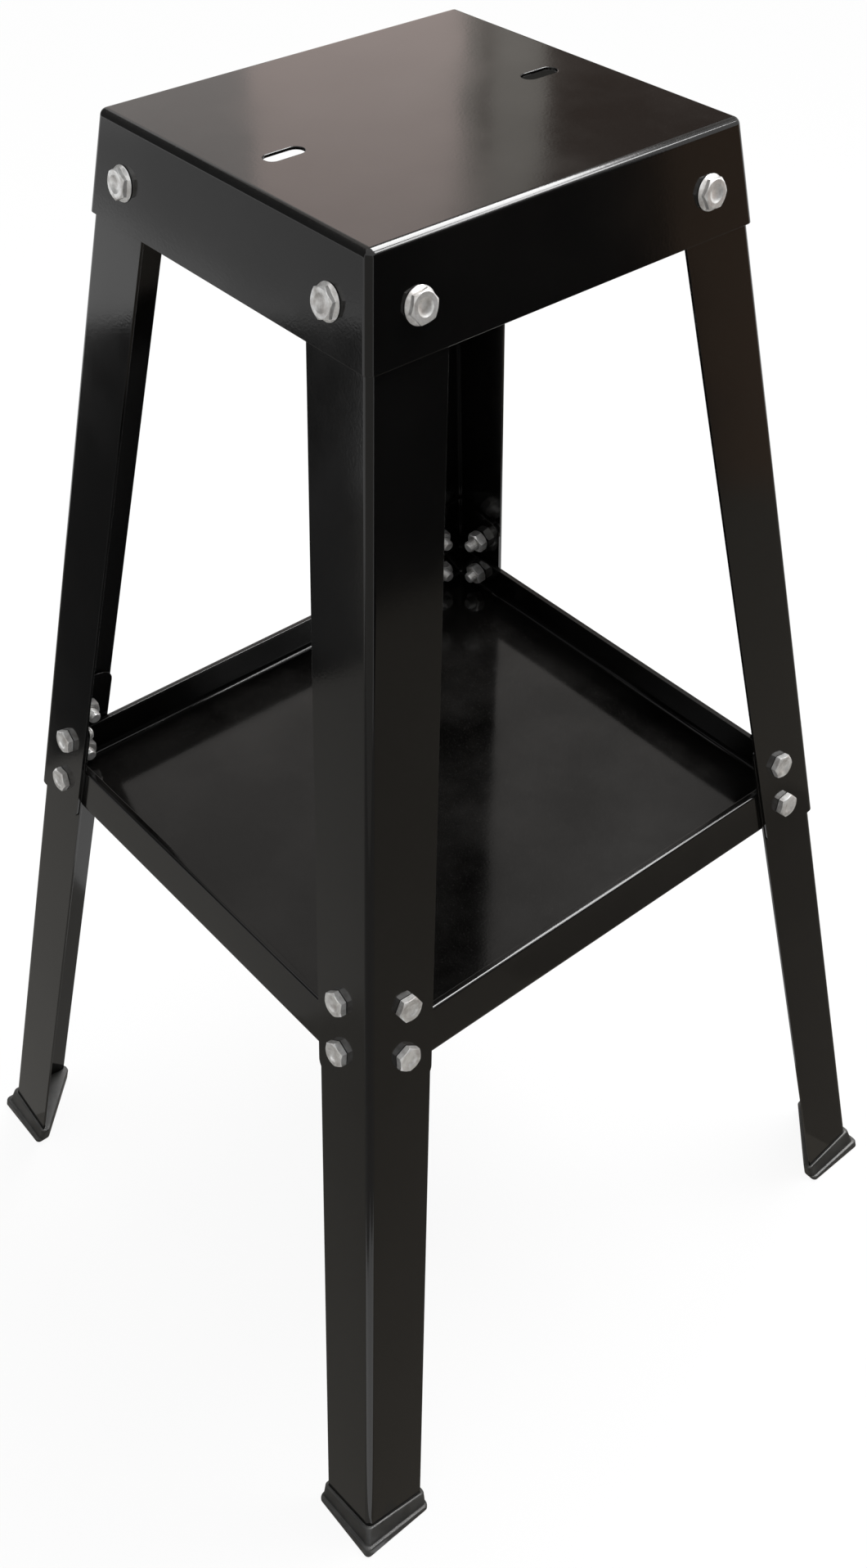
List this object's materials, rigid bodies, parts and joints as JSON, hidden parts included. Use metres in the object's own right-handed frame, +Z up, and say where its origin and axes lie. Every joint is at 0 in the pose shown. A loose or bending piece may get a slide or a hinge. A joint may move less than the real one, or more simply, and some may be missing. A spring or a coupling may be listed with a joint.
{
  "type": "bench grinder stand",
  "caption": "Floor stand for a bench grinder: a slotted pressed steel cap on splayed bolted angle legs, with a shelf tray between the legs and rubber feet.",
  "frame": {"origin": "on the floor, under the middle of the stand", "axes": "+Z up, X along the longer side of the cap and along the line of its slots, -Y the front"},
  "size_m": [0.4706, 0.4492, 0.76],
  "materials": {
    "black_paint": "gloss black paint on sheet steel",
    "zinc_plate": "bright zinc plating",
    "foot_rubber": "moulded black rubber, satin"
  },
  "bodies": {
    "root": {"top_cap": "black_paint", "shelf_tray": "black_paint", "cap_bolts": "zinc_plate", "cap_nuts": "zinc_plate", "upper_leg_front_left": "black_paint", "upper_leg_front_right": "black_paint", "upper_leg_back_left": "black_paint", "upper_leg_back_right": "black_paint", "lower_leg_front_left": "black_paint", "lower_leg_front_right": "black_paint", "lower_leg_back_left": "black_paint", "lower_leg_back_right": "black_paint", "foot_front_left": "foot_rubber", "foot_front_right": "foot_rubber", "foot_back_left": "foot_rubber", "foot_back_right": "foot_rubber", "leg_bolts_front_left": "zinc_plate", "leg_bolts_front_right": "zinc_plate", "leg_bolts_back_left": "zinc_plate", "leg_bolts_back_right": "zinc_plate", "leg_nuts_front_left": "zinc_plate", "leg_nuts_front_right": "zinc_plate", "leg_nuts_back_left": "zinc_plate", "leg_nuts_back_right": "zinc_plate"}
  },
  "joints": []
}
